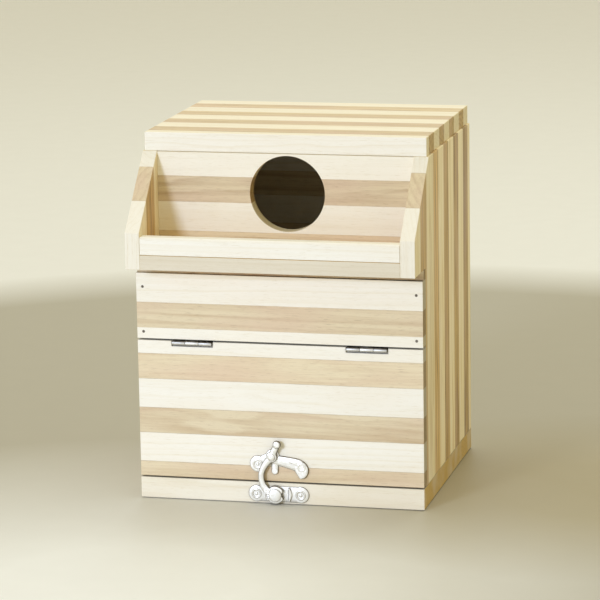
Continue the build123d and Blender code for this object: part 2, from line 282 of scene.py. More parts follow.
def timber(name, look):
    """Bare planed timber. The look holds its colours and how strongly each part of the grain shows."""
    material, shader, start = open_material(name)

    def attribute(label, out="Fac"):
        return start.node("ShaderNodeAttribute", {"attribute_name": label}, None, out)

    log = attribute("log", "Vector")
    labels = ("shade", "warmth", "end_grain", "glue", "tone")
    shade, warmth, end_grain, glue, tone = [attribute(label) for label in labels]

    parts = log.node("ShaderNodeSeparateXYZ", None, {0: log}, "X")
    wander = (noise(log, *wander_noise) - noise_middle) * look["wander"]
    across = parts.output("Y") + wander
    deep = parts.output("Z") + wander * wander_through
    rings = (across * across + deep * deep) ** 0.5 / look["ring_pitch"]
    ring_number = rings.maths("FLOOR", rings)
    ring_mood = rings.node("ShaderNodeTexWhiteNoise", {"noise_dimensions": "1D"},
                           {"W": ring_number}, "Value")
    late = rings.node("ShaderNodeValToRGB", {"stops": look["ring_stops"]},
                      {"Fac": rings.maths("FRACT", rings)}, "Color")
    late = late * (faintest_ring + (1 - faintest_ring) * ring_mood)

    streak = noise(log, *streak_noise)
    fibre = noise(log, *fibre_noise)
    patch = between(noise(log, *patch_noise), *patch_span)
    pore = between(noise(log, *pore_noise), look["pore_from"], look["pore_from"] + pore_span)

    early = mix(warmth, look["early_cool"], look["early_warm"])
    dark = mix(warmth, look["late_cool"], look["late_warm"])
    grain = late * look["ring_show"] + (streak - noise_middle) * look["streak_show"]
    grain = grain + (fibre - noise_middle) * look["fibre_show"]
    grain = grain * (1 - end_grain * end_calm) * (1 + warmth * warm_contrast)
    colour = mix(grain, early, dark)
    colour = mix(patch * look["patch_show"], colour, look["flush"])
    colour = mix(pore * look["pore_show"], colour, look["pore"])
    broken = between(noise(log, *seam_noise), *seam_breaks)
    seam = between(abs(glue), *seam_place) * broken
    colour = mix(seam * look["seam_show"], colour, look["pore"])
    sawn_end = between(end_grain, *sawn_from)
    # Tone includes the painted light and shade given to some boards' front faces.
    level = (1 + tone + shade * look["shade_spread"]) * (1 - sawn_end * look["end_darker"])
    colour = colour.scaled(level)

    height = late * timber_relief["late"] + fibre * timber_relief["fibre"] - pore * timber_relief["pore"]
    rough = look["rough"] + (fibre - noise_middle) * timber_rough["fibre"]
    rough = rough + end_grain * timber_rough["end"] - late * timber_rough["late"]
    paint(shader, colour, rough, height, look["bump"], timber_depth)
    return material


# %% [markdown]
# The box is glued up from two timbers. The pale one is almost white, with faint rings. The brown
# one has a stronger, streaky figure, short dark pores and pinkish patches. Faces also differ in
# warmth, which the attribute warmth sets: the front is cream and the rest is yellower. The boards
# differ in warmth of their own, but the cream of each front face is painted light, like the cool
# lamp in front against the warm shade.
# The base and the tray's floor are a third, plainer wood.

# %% The two stave timbers and the base timber
pale_look = {
    "early_cool": srgb(250, 247, 238), "early_warm": srgb(250, 237, 200),
    "late_cool": srgb(238, 230, 208), "late_warm": srgb(216, 190, 132),
    "flush": srgb(246, 238, 221), "pore": srgb(206, 188, 150),
    "ring_stops": [(0, 0.3), (0.12, 0), (0.6, 0.3), (0.9, 1), (1, 0.3)], "wander": 7.0, "ring_pitch": 2.3,
    "ring_show": 0.5, "streak_show": 0.9, "fibre_show": 0.5, "patch_show": 0.35,
    "pore_from": 0.62, "pore_show": 0.35, "seam_show": 0.4, "shade_spread": 0.02, "end_darker": 0.1,
    "rough": 0.58, "bump": 0.35,
}
brown_look = {
    "early_cool": srgb(231, 217, 187), "early_warm": srgb(214, 184, 124),
    "late_cool": srgb(200, 174, 137), "late_warm": srgb(136, 100, 50),
    "flush": srgb(219, 190, 166), "pore": srgb(138, 106, 76),
    "ring_stops": [(0, 0.4), (0.15, 0), (0.55, 0.35), (0.88, 1), (1, 0.4)], "wander": 9.0,
    "ring_pitch": 3.1,
    "ring_show": 0.6, "streak_show": 1.3, "fibre_show": 0.6, "patch_show": 0.45,
    "pore_from": 0.6, "pore_show": 0.3, "seam_show": 0.5, "shade_spread": 0.04, "end_darker": 0.12,
    "rough": 0.56, "bump": 0.45,
}
base_look = dict(pale_look, early_cool=srgb(245, 241, 229), late_cool=srgb(228, 217, 190),
                 early_warm=srgb(221, 188, 112), late_warm=srgb(188, 150, 84),
                 flush=srgb(232, 221, 198), streak_show=1.1, patch_show=0.5)
finishes = {name: timber(name, look) for name, look in (
    ("pale_timber", pale_look), ("brown_timber", brown_look), ("base_timber", base_look))}
print("timbers", sorted(finishes))

# %% [markdown]
# The clasp and the hinges are pressed steel with bright nickel on them. Plating is a metal that
# mirrors the room softly, with dull patches, and it is rubbed bright on the high edges. The hollows
# get painted shade. Pointiness, which says how sharply the surface bulges or dips, finds hollows and
# edges. More painted shade darkens the metal by its distance from one flat level, and the attribute
# named rim paints shade on the flanks, so that each plate has a dark outline.

# %% Metal material
cloud_noise = ((0.5, 0.5, 0.5), 3)
grit_noise = ((9, 9, 9), 2)
rub_noise = ((1.1, 6, 7), 3)
cloud_span = (0.45, 0.7)
flat_pointiness = 0.5
hollow_span = (0.01, 0.07)
edge_span = (0.51, 0.56)
rim_span = (0.07, 0.5)
grime_least, grime_cloud = 0.6, 0.5
rim_least, rim_cloud = 0.75, 0.4
metal_rough = {"dull": 0.25, "rub": 0.16, "edge": 0.06}
metal_relief = 0.5
metal_depth = 0.02 * MM


def plated(name, look):
    """Plated or bare metal with dull patches, painted shade in the hollows, near one level and on the flanks,
    rubbed edges and fine rub marks.
    """
    material, shader, start = open_material(name)
    spot = start.node("ShaderNodeTexCoord", None, None, "Object").scaled(1 / MM)
    cloud = noise(spot, *cloud_noise)
    grit = noise(spot, *grit_noise)
    rub = noise(spot, *rub_noise)
    bulge = start.node("ShaderNodeNewGeometry", None, None, "Pointiness")
    # Painted shade in the hollows, where the surface dips.
    hollow = between(flat_pointiness - bulge, *hollow_span)
    edge = between(bulge, *edge_span)

    # A band of painted shade, set by the distance from one flat level.
    axis, middle, unshaded, fully_shaded = look["grime"]
    away = abs(start.node("ShaderNodeSeparateXYZ", None, {0: spot}, axis) - middle)
    grime = between(away, unshaded, fully_shaded) * (grime_least + grime_cloud * cloud)
    # Painted shade on the flanks, which gives each plate a dark outline.
    rim = between(start.node("ShaderNodeAttribute", {"attribute_name": "rim"}, None, "Fac"), *rim_span)
    rim = rim * (rim_least + rim_cloud * cloud) * look["rim_shade_show"]
    grime = grime.maths("MAXIMUM", grime, rim)

    # Dull patches of tarnish, plus the painted shade of the hollows, the band and the flanks.
    dull = between(cloud, *cloud_span) * look["dull_show"] + hollow * look["hollow_shade_show"] + grime
    colour = mix(dull, look["bright"], look["dull"])
    colour = mix(edge * look["edge_show"], colour, look["edge"])
    rough = look["rough"] + dull * metal_rough["dull"]
    rough = rough + (rub - noise_middle) * metal_rough["rub"] - edge * metal_rough["edge"]
    shader.inputs["Metallic"].default_value = look["metallic"]
    paint(shader, colour, rough, (grit + rub) * metal_relief, look["bump"], metal_depth)
    return material


def middle_of(low, high):
    """The middle of a box."""
    return (low + high) / 2


wood_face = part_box("door_pale_staves")[0].y
pin_middle = middle_of(*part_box("hinge_pins"))
# On the clasp and the brads the band of painted shade lies close to the wood's face.
nickel_look = {
    "bright": srgb(252, 252, 249), "dull": srgb(92, 80, 58), "edge": srgb(254, 254, 252),
    "dull_show": 0.1, "hollow_shade_show": 0.4, "edge_show": 0.6, "rough": 0.3, "bump": 0.3,
    "grime": ("Y", wood_face / MM, 0.85, 0.2), "rim_shade_show": 1.0, "metallic": 0.6,
}
# On the hinges the band of painted shade darkens the metal above and below the barrel: the leaves in the gap over
# it and its underside.
hinge_look = dict(nickel_look, rough=0.36, dull_show=0.05, dull=srgb(50, 43, 32), metallic=0.5, edge_show=0,
                  grime=("Z", pin_middle.z / MM, 0.74, 1.0))
brad_look = dict(nickel_look, bright=srgb(176, 170, 158), dull=srgb(112, 104, 92), edge=srgb(196, 190, 178),
                 rough=0.45, dull_show=0.5, rim_shade_show=0, metallic=1)
for name, look in (("clasp_nickel", nickel_look), ("hinge_nickel", hinge_look), ("brad_steel", brad_look)):
    finishes[name] = plated(name, look)
print("finishes", sorted(finishes))

# %% [markdown]
# The CAD nodes arrive as loose triangles. A copy is merged first, and each of its separate solids
# then gives its own box. Every board, stave, nail and hinge gets its place from such a box.

# %% Boxes of the CAD solids
merge_reach = MM / 1000


def corners_of(points):
    """The lowest and the highest corner of the box around some points."""
    low, high = [Vector([end(point[axis] for point in points) for axis in range(3)]) for end in (min, max)]
    return low, high


def reach_of(board):
    """The lowest and the highest corner of a board of pale and brown staves."""
    return corners_of([corner for wood in ("pale", "brown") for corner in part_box(f"{board}_{wood}_staves")])


def islands(node):
    """The box of each separate solid of a CAD node, as (lowest corner, highest corner)."""
    work = bmesh.new()
    work.from_mesh(frame["nodes"][node].data)
    bmesh.ops.remove_doubles(work, verts=work.verts, dist=merge_reach)
    left = set(work.verts)
    boxes = []
    while left:
        found = {left.pop()}
        edge_of = list(found)
        while edge_of:
            vert = edge_of.pop()
            near = {link.other_vert(vert) for link in vert.link_edges} & left
            left -= near
            found |= near
            edge_of += near
        boxes.append(corners_of([vert.co for vert in found]))
    work.free()
    return sorted(boxes, key=lambda box: tuple(box[0]))


print("brads start at x =", [round(low.x / MM, 1) for low, high in islands("front_strip_brads")])

# %% [markdown]
# The tools for new shapes are few: a flat outline that is raised to a solid, a bevel that eases its
# edges, and boolean modifiers that join another solid or take it away. Single points and faces could
# make the same shapes, but solids that are joined and cut can be read like joinery. Before a piece
# is handed to the frame it becomes a plain mesh, with its modifiers worked in.

# %% Mesh tools
hidden_tools = []
ease_angle = math.radians(40)


def new_object(name, work):
    """An object at the origin that holds this bmesh."""
    bmesh.ops.recalc_face_normals(work, faces=work.faces)
    mesh = bpy.data.meshes.new(name)
    work.to_mesh(mesh)
    work.free()
    return add_object(name, mesh)


def point_object(name, points):
    """An object that is only some loose points."""
    mesh = bpy.data.meshes.new(name)
    mesh.from_pydata(points, [], [])
    return add_object(name, mesh)


def prism(work, outline, start, reach):
    """Raise a flat outline by the vector reach, as a closed solid."""
    near = [work.verts.new(Vector(start) + Vector(corner)) for corner in outline]
    far = [work.verts.new(Vector(start) + Vector(corner) + Vector(reach)) for corner in outline]
    work.faces.new(near)
    work.faces.new(list(reversed(far)))
    for index, vert in enumerate(near):
        after = (index + 1) % len(near)
        work.faces.new((vert, far[index], far[after], near[after]))


def raised(name, outline, start, reach):
    """An object that is one flat outline, raised."""
    work = bmesh.new()
    prism(work, outline, start, reach)
    return new_object(name, work)


def solid(name, low, high):
    """A rectangular solid between two corners."""
    size = Vector(high) - Vector(low)
    corners = [(0, 0, 0), (size.x, 0, 0), (size.x, size.y, 0), (0, size.y, 0)]
    return raised(name, corners, low, (0, 0, size.z))


def modifier(thing, kind, **settings):
    """Put a modifier on an object."""
    made = thing.modifiers.new(kind.lower(), kind)
    for name, value in settings.items():
        setattr(made, name, value)
    return made


def ease(thing, width, steps=2):
    """Round a solid's sharp edges a little, as sandpaper does."""
    modifier(thing, "BEVEL", width=width, segments=steps, limit_method="ANGLE", angle_limit=ease_angle,
             use_clamp_overlap=True, harden_normals=False)


def keep_aside(thing):
    """Hide a tool from the picture. It is deleted when all pieces are plain meshes."""
    thing.hide_render = True
    thing.hide_viewport = True
    hidden_tools.append(thing)
    return thing


def join_or_cut(thing, other, operation):
    """Join another solid to a thing (UNION), or take it out of the thing (DIFFERENCE)."""
    modifier(thing, "BOOLEAN", operation=operation, object=keep_aside(other), solver="EXACT")


def cut_box(thing, low, high):
    """Take a rectangular room out of a thing, between two corners."""
    join_or_cut(thing, solid("box_cutter", low, high), "DIFFERENCE")


def plain(name, thing):
    """The object's finished shape as a plain mesh piece; the object itself is removed."""
    thing.hide_viewport = False
    graph = bpy.context.evaluated_depsgraph_get()
    mesh = bpy.data.meshes.new_from_object(thing.evaluated_get(graph), depsgraph=graph)
    mesh.name = name
    old = thing.data
    bpy.data.objects.remove(thing)
    if old.users == 0:
        bpy.data.meshes.remove(old)
    return add_object(name, mesh)


print("edges sharper than", round(math.degrees(ease_angle)), "degrees are eased")

# %% [markdown]
# The flanks of a metal piece are found once, from its mesh: each point notes how far the surface
# turns away from the front there. A short blur over neighbouring points takes out the fine steps
# that a voxel mesh has. Shader nodes could read the normal instead, but they can't blur it. The
# metal's material paints shade on the flanks with it.

# %% Hand a piece over
rim_blur = 6


def mark_rims(piece):
    """Write the attribute rim: how far the surface turns away from the front at each point."""
    mesh = piece.data
    count = len(mesh.vertices)
    normals = np.empty(count * 3)
    mesh.vertices.foreach_get("normal", normals)
    ends = np.empty(len(mesh.edges) * 2, dtype=np.int32)
    mesh.edges.foreach_get("vertices", ends)
    one, other = ends[0::2], ends[1::2]
    neighbours = np.bincount(ends, minlength=count)
    away = 1 - np.clip(-normals[1::3], 0, 1)
    for _ in range(rim_blur):
        around = np.bincount(one, away[other], count) + np.bincount(other, away[one], count)
        away = (away + around / neighbours) / 2
    rim = mesh.attributes.new("rim", "FLOAT", "POINT")
    rim.data.foreach_set("value", away)


def hand_over(piece, body, slot, *nodes):
    """Put a finished piece on its body, hide the CAD nodes it stands for, and mark the rims of a nickel piece."""
    if slot.endswith("nickel"):
        mark_rims(piece)
    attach(piece, body)
    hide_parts(*nodes)
    print(piece.name, "rides on", body, "with", len(piece.data.polygons), "faces")


print("rims are blurred", rim_blur, "times")

# %% [markdown]
# A board of staves follows one rule: for each stave, keep what lies between two glue lines. The
# tree below does that with a zone that repeats for every point of a small line object. Each point
# stands at the middle of a stave and carries its width. Inside the zone a box cuts the stave out
# of the whole board, and random numbers choose where in a trunk it grew. Cutting each stave by hand
# would do too, but the rule keeps all ten boards alike.
#
# After the zone, each face gets two numbers for its material. Warmth is lower on the front faces,
# which is painted light: the front of each board is made cream, as the cool lamp falls on it. Tone
# makes a face lighter or darker: its three inputs are for the front faces, the level ones and the
# sawn ends, and Fade and Lift act behind the wings only.

# %% Geometry Nodes: staves from a board
front_painted_light = 0.8
front_turn = 1.5
end_warmth = 0.8
fade_from = -30 * MM
fade_middle = 30 * MM
grain_slope = 0.02
trunk_low = (-400, -38, 14)
trunk_high = (400, 38, 60)


def open_tree(name, inputs):
    """A Geometry Nodes tree with named inputs, and a wrapped socket for each of them."""
    tree = bpy.data.node_groups.new(name, "GeometryNodeTree")
    for label, kind in inputs.items():
        tree.interface.new_socket(label, in_out="INPUT", socket_type="NodeSocket" + kind)
    tree.interface.new_socket("Geometry", in_out="OUTPUT", socket_type="NodeSocketGeometry")
    entry = Signal(tree).node("NodeGroupInput")
    return tree, {label: entry.output(label) for label in inputs}


def close_tree(shape, material):
    """End a tree: instances become real mesh and get their material."""
    real = shape.node("GeometryNodeRealizeInstances", None, {"Geometry": shape})
    painted = real.node("GeometryNodeSetMaterial", None, {"Geometry": real, "Material": material})
    shape.node("NodeGroupOutput", None, {"Geometry": painted})


def store(shape, label, kind, domain, value):
    """Write a named attribute on a shape."""
    return shape.node("GeometryNodeStoreNamedAttribute", {"data_type": kind, "domain": domain},
                      {"Geometry": shape, "Name": label, "Value": value})


def stave_tree():
    """The tree that cuts staves out of a board and notes where in a trunk each one grew."""
    tree, given = open_tree("glued_staves", {
        "Geometry": "Geometry", "Board": "Object", "Along": "Vector", "Stacked": "Vector",
        "Cut reach": "Float", "Warmth": "Float", "Tones": "Vector", "Fade": "Float",
        "Lift": "Float", "Seed": "Int", "Material": "Material"})
    line = given["Geometry"]
    board = line.node("GeometryNodeObjectInfo", None, {"Object": given["Board"]}, "Geometry")
    wide = line.node("GeometryNodeInputNamedAttribute", {"data_type": "FLOAT"},
                     {"Name": "wide"}, "Attribute")
    spot = line.node("GeometryNodeInputPosition")

    zone_in = tree.nodes.new("GeometryNodeForeachGeometryElementInput")
    zone_out = tree.nodes.new("GeometryNodeForeachGeometryElementOutput")
    zone_in.pair_with_output(zone_out)
    zone_out.domain = "POINT"
    zone_out.input_items.new("FLOAT", "Wide")
    zone_out.input_items.new("VECTOR", "Middle")
    for label, signal in (("Geometry", line), ("Wide", wide), ("Middle", spot)):
        tree.links.new(signal.socket, pick(zone_in.inputs, label))
    number, own_wide, middle = [Signal(tree, pick(zone_in.outputs, label))
                                for label in ("Index", "Wide", "Middle")]

    def random(kind, low, high, salt):
        return line.node("FunctionNodeRandomValue", {"data_type": kind},
                         {"Min": low, "Max": high, "ID": number, "Seed": given["Seed"] + salt}, "Value")

    everywhere = line.vector("SUBTRACT", (1, 1, 1), given["Stacked"]).scaled(given["Cut reach"])
    size = line.vector("ADD", everywhere, given["Stacked"].scaled(own_wide))
    box = line.node("GeometryNodeMeshCube", None, {"Size": size}, "Mesh")
    box = line.node("GeometryNodeTransform", None, {"Geometry": box, "Translation": middle})
    stave = line.node("GeometryNodeMeshBoolean", {"operation": "INTERSECT", "solver": "EXACT"},
                      {"Mesh 2": [board, box]}, "Mesh")

    spot = line.vector("SUBTRACT", spot, middle).scaled(1 / MM)
    third_axis = line.vector("CROSS_PRODUCT", given["Along"], given["Stacked"])
    along, stacked, through = [spot.dot(axis) for axis in (given["Along"], given["Stacked"], third_axis)]
    glue = stacked * (2 * MM) / own_wide
    stacked = stacked + along * random("FLOAT", -grain_slope, grain_slope, 1)
    log = line.node("ShaderNodeCombineXYZ", None, {"X": along, "Y": stacked, "Z": through})
    log = line.vector("ADD", log, random("FLOAT_VECTOR", trunk_low, trunk_high, 2))
    normal = line.node("GeometryNodeInputNormal")
    facing_end = abs(normal.dot(given["Along"]))
    stave = store(stave, "log", "FLOAT_VECTOR", "POINT", log)
    stave = store(stave, "shade", "FLOAT", "POINT", random("FLOAT", -1.0, 1.0, 3))
    stave = store(stave, "glue", "FLOAT", "POINT", glue)
    stave = store(stave, "end_grain", "FLOAT", "FACE", facing_end)
    tree.links.new(stave.socket, pick(zone_out.inputs, "Geometry"))

    joined = Signal(tree, pick(zone_out.outputs, "Generation_0"))
    facing_front = line.maths("MAXIMUM", normal.dot((0, -1, 0)), 0)
    ahead = facing_front.maths("MINIMUM", facing_front * front_turn, 1)
    sawn = facing_end * (1 - ahead)
    # Front faces lose warmth: painted light, as the cool lamp in front falls on them.
    warmth = given["Warmth"] * (1 - ahead * front_painted_light) + sawn * end_warmth
    joined = store(joined, "warmth", "FLOAT", "FACE", warmth)
    backward = line.node("GeometryNodeInputPosition").dot((0, 1, 0))
    beyond = line.maths("GREATER_THAN", backward, fade_from)
    level = abs(normal.dot((0, 0, 1)))
    shares = line.node("ShaderNodeCombineXYZ", None, {"X": facing_front, "Y": level, "Z": sawn})
    tone = given["Tones"].dot(shares)
    tone = tone + beyond * (given["Fade"] * (backward - fade_middle) + given["Lift"])
    close_tree(store(joined, "tone", "FLOAT", "FACE", tone), given["Material"])
    return tree


def run_tree(thing, tree, **values):
    """Put a Geometry Nodes tree on an object and set its inputs by their identifiers."""
    made = thing.modifiers.new(tree.name, "NODES")
    made.node_group = tree
    for item in tree.interface.items_tree:
        key = item.name.lower().replace(" ", "_")
        if item.in_out == "INPUT" and key in values:
            made[item.identifier] = values.pop(key)
    if values:
        raise KeyError(f"{tree.name} has no input for {sorted(values)}")


glued_staves = stave_tree()
print("tree", glued_staves.name, "has", len(glued_staves.nodes), "nodes")

# %% [markdown]
# Where each glue line lies is read from the CAD staves, solid by solid. The two end staves are cut
# with some room to spare, so that the cutter never lies flush with the board's own end. A hairline
# bevel along the glue lines stands for the fine groove that a planer leaves there.

# %% From a board to its staves
ALONG_X = (1.0, 0.0, 0.0)
ALONG_Z = (0.0, 0.0, 1.0)
NO_TONES = (0.0, 0.0, 0.0)
stack_axes = {"y": 1, "z": 2}
glue_line_width = 0.045 * MM
glue_line_angle = math.radians(80)
edge_width = 0.32 * MM
spare_room = 4 * MM
cut_reach = 0.5


def stave_line(name, spans, axis, low, high):
    """A line object: one point at the middle of each stave, with the stave's width."""
    points = []
    widths = []
    for start, end in spans:
        start -= spare_room if abs(start - low[axis]) < glue_line_width else 0
        end += spare_room if abs(end - high[axis]) < glue_line_width else 0
        point = middle_of(low, high)
        point[axis] = (start + end) / 2
        points.append(point)
        widths.append(end - start)
    line = point_object(name, points)
    wide = line.data.attributes.new("wide", "FLOAT", "POINT")
    wide.data.foreach_set("value", widths)
    return line


def cut_staves(name, board, spans, axis, reach, along, slot, **look):
    """A line object whose tree cuts these staves out of a board."""
    line = stave_line(f"{name}_line", spans, axis, *reach)
    stack = [0.0, 0.0, 0.0]
    stack[axis] = 1.0
    run_tree(line, glued_staves, board=board, along=along, stacked=stack, cut_reach=cut_reach,
             material=finishes[slot], **look)
    return line


def glue_up(board, title, stacked, seed, warmth=0.0, tones=NO_TONES, along=ALONG_X, body="box",
            brown_fade=0.0, pale_lift=0.0):
    """Make the pale and the brown staves of a board, and hand both over."""
    ease(board, edge_width)
    keep_aside(board)
    axis = stack_axes[stacked]
    reach = reach_of(title)
    for wood, fade, lift in (("pale", 0.0, pale_lift), ("brown", brown_fade, 0.0)):
        node = f"{title}_{wood}_staves"
        spans = sorted({(round(box[0][axis], 6), round(box[1][axis], 6)) for box in islands(node)})
        line = cut_staves(f"{title}_{wood}", board, spans, axis, reach, along, f"{wood}_timber",
                          warmth=warmth, tones=tones, fade=fade, lift=lift, seed=seed + len(wood))
        modifier(line, "BEVEL", width=glue_line_width, segments=1, limit_method="ANGLE",
                 angle_limit=glue_line_angle, use_clamp_overlap=True)
        hand_over(plain(f"{title}_{wood}", line), body, f"{wood}_timber", node)


print("a glue line is", glue_line_width / MM, "mm wide")

# %% [markdown]
# The roof is the simplest board: a flat panel whose staves run from side to side. Its front edge is
# a pale stave, and its ends show the end grain of all nine. The back is built like it, on edge.

# %% Roof and back
# The roof's front tone is painted shade on its front edge.
glue_up(solid("roof_board", *reach_of("roof")), "roof", "y", seed=10, warmth=0.45, tones=(-0.05, 0.0, 0.0))
glue_up(solid("back_board", *reach_of("back")), "back", "z", seed=20, warmth=0.5)

# %% [markdown]
# Each side board stands with its staves upright and reaches forward as a wing. Its outline is read
# off the CAD nodes: the tray gives the wing's underside, and the highest point of the front stave
# gives the knee where the slope starts.

# %% Side boards
side_fade = -3.6
side_lift = 0.09
tray_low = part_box("tray_floor")[0].z


def side_board(side):
    """The outline of a side board with its wing, raised to its thickness."""
    low, high = reach_of(f"{side}_side")
    tip = [vert.co for vert in frame["nodes"][f"{side}_side_pale_staves"].data.vertices
           if abs(vert.co.y - low.y) < glue_line_width]
    knee = max(point.z for point in tip)
    roof_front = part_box("roof_pale_staves")[0].y
    strip_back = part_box("front_strip_pale_staves")[1].y
    outline = [(strip_back, low.z), (high.y, low.z), (high.y, high.z), (roof_front, high.z),
               (low.y, knee), (low.y, tray_low), (strip_back, tray_low)]
    return raised(f"{side}_board", [(0, y, z) for y, z in outline], (low.x, 0, 0), (high.x - low.x, 0, 0))


# The front tone is painted shade on the wings' front faces.
for side, seed in (("left", 30), ("right", 40)):
    glue_up(side_board(side), f"{side}_side", "y", seed, warmth=1.0, tones=(-0.1, 0.0, 0.0), along=ALONG_Z,
            brown_fade=side_fade, pale_lift=side_lift)

# %% [markdown]
# The entrance panel has one round hole. A many-sided bar is taken out of the board, and the bevel
# that eases the board's edges then eases the rim of the hole too. Where the panel meets the roof,
# a thin dark gap is cut into its front edge: boards that touch still show a joint.

# %% Entrance panel
hole_steps = 128
past = 3 * MM
joint_gap = 0.32 * MM
joint_deep = 1.3 * MM


def ring_of(radius, steps):
    """Points around a circle, as (across, up)."""
    turns = [2 * math.pi * index / steps for index in range(steps)]
    return [(radius * math.cos(angle), radius * math.sin(angle)) for angle in turns]


def drill(board, place, radius, long, steps):
    """Drill a round hole back from a place on the front."""
    outline = [(across, 0, up) for across, up in ring_of(radius, steps)]
    join_or_cut(board, raised("drill", outline, place, (0, long, 0)), "DIFFERENCE")


entrance = next(mount for mount in frame["record"]["mounts"] if mount["name"] == "entrance_hole")
hole_radius = entrance["dims"]["r_mm"] * MM
low, high = reach_of("entrance_panel")
panel = solid("entrance_board", low, high)
drill(panel, (entrance["pos_m"][0], low.y - past, entrance["pos_m"][2]), hole_radius,
      high.y - low.y + 2 * past, hole_steps)
cut_box(panel, (low.x, low.y - past, high.z - joint_gap), (high.x, low.y + joint_deep, high.z + past))
# The panel's front tone is painted shade on its front face.
glue_up(panel, "entrance_panel", "z", seed=50, warmth=1.0, tones=(-0.065, 0.0, 0.0))

# %% [markdown]
# The fixed strip is nailed on with four brads, and each was punched a little below the surface.
# A shallow round dimple takes each head. Behind the tray's floor the strip's face is cut back, which
# leaves the dark line that the tray throws there.

# %% Front strip
dimple_radius = 0.72 * MM
dimple_deep = 0.3 * MM
dimple_steps = 32
tray_gap_deep = 2.5 * MM
# The level faces and the sawn ends of the strip and the door are darker. On the level faces this is painted shade
# in the door's gaps; on the ends it is partly end grain and partly painted shade.
gap_shade_and_end_tone = (-0.4, -0.42)

low, high = reach_of("front_strip")
strip = solid("strip_board", low, high)
under_tray = max(low.z for low, high in islands("front_strip_brown_staves"))
cut_box(strip, (low.x - past, low.y - past, under_tray),
        (high.x + past, low.y + tray_gap_deep, high.z + past))
brad_boxes = islands("front_strip_brads")
for spot in [middle_of(*box) for box in brad_boxes]:
    drill(strip, (spot.x, wood_face - past, spot.z), dimple_radius, past + dimple_deep, dimple_steps)
glue_up(strip, "front_strip", "z", seed=60, warmth=0.2, tones=(-0.035, *gap_shade_and_end_tone))

# %% [markdown]
# The door is the same sort of board. Its top edge is cut away under both hinges: deep in front for
# the rolled barrel, and thin behind it for the flat leaf.

# %% Door
barrel_gap = 0.7 * MM
end_gap = 0.45 * MM
leaf_gap = 0.1 * MM
leaf_thick = 0.5 * MM
leaf_low, leaf_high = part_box("hinge_lower_leaves")
barrel_radius = pin_middle.z - leaf_low.z
barrel_room = barrel_radius + barrel_gap
hinge_spans = [(low.x, high.x) for low, high in islands("hinge_pins")]

door_low, door_high = reach_of("door")
door = solid("door_board", door_low, door_high)
for start, end in hinge_spans:
    cut_box(door, (start - end_gap, door_low.y - past, pin_middle.z - barrel_room),
            (end + end_gap, pin_middle.y + barrel_room, door_high.z + past))
    cut_box(door, (start - leaf_gap, door_low.y, door_high.z - leaf_thick),
            (end + leaf_gap, leaf_high.y + leaf_gap, door_high.z + past))
glue_up(door, "door", "z", seed=70, tones=(0.0, *gap_shade_and_end_tone), body="door")

# %% [markdown]
# Three boards are single pieces of timber: the base, the tray's floor and the lip along the tray's
# front. The same tree serves them with one point as wide as the board. A thin slot under each edge
# of the base leaves the dark line that a box has where it stands on a table.

# %% Single boards
wide_edge = 0.6 * MM
floor_gap = 0.5 * MM
lip_round = 1.4 * MM
lip_edge = 0.14 * MM
lip_longer = 0.28 * MM


def single_board(board, title, slot, seed, warmth, edge, tones):
    """Make a board that is one piece of timber, and hand it over."""
    ease(board, edge)
    keep_aside(board)
    low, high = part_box(title)
    line = cut_staves(title, board, [(low.y, high.y)], 1, (low, high), ALONG_X, slot,
                      warmth=warmth, tones=tones, seed=seed)
    hand_over(plain(f"{title}_timber", line), "box", slot, title)


low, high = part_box("base_board")
base = solid("base_solid", low, high)
for axis, at_start in ((1, True), (1, False), (0, True), (0, False)):
    start = low - Vector((past, past, past))
    end = Vector((high.x + past, high.y + past, low.z + floor_gap))
    if at_start:
        end[axis] = low[axis] + joint_deep
    else:
        start[axis] = high[axis] - joint_deep
    cut_box(base, start, end)
# The base's front tone is painted light: its front face is made a little lighter.
single_board(base, "base_board", "base_timber", 80, 0.25, wide_edge, (0.04, -0.4, -0.05))

low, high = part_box("tray_floor")
tray = solid("tray_solid", low, high)
cut_box(tray, (low.x, low.y - past, high.z - joint_gap), (high.x, low.y + joint_deep, high.z + past))
# The tray's front tone is painted shade on its front edge.
single_board(tray, "tray_floor", "base_timber", 93, 1.0, wide_edge, (-0.15, 0.25, 0.0))

low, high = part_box("tray_lip")
size = high - low
curve = [(lip_round * (1 - math.cos(math.radians(angle))), lip_round * (1 - math.sin(math.radians(angle))))
         for angle in range(0, 91, 15)]
outline = [(0, 0, 0), (0, size.y, 0)]
outline += [(0, size.y - inward, size.z - down) for inward, down in curve]
outline += [(0, inward, size.z - down) for down, inward in curve]
lip = raised("lip_solid", outline, low - Vector((lip_longer, 0, 0)), (size.x + 2 * lip_longer, 0, 0))
# The lip's front tone is painted shade on its front face.
single_board(lip, "tray_lip", "pale_timber", 90, 0.0, lip_edge, (-0.06, 0.0, 0.0))

# %% [markdown]
# Small metal pieces repeat: brads, clasp pins, hinge nails, and the hinges themselves. One of each is
# modelled, and a second tree sets copies of it out on the points of a small object. A fixed seed
# gives each nail its own turn, and some a hair's difference in size, so that no two heads catch
# the light alike.

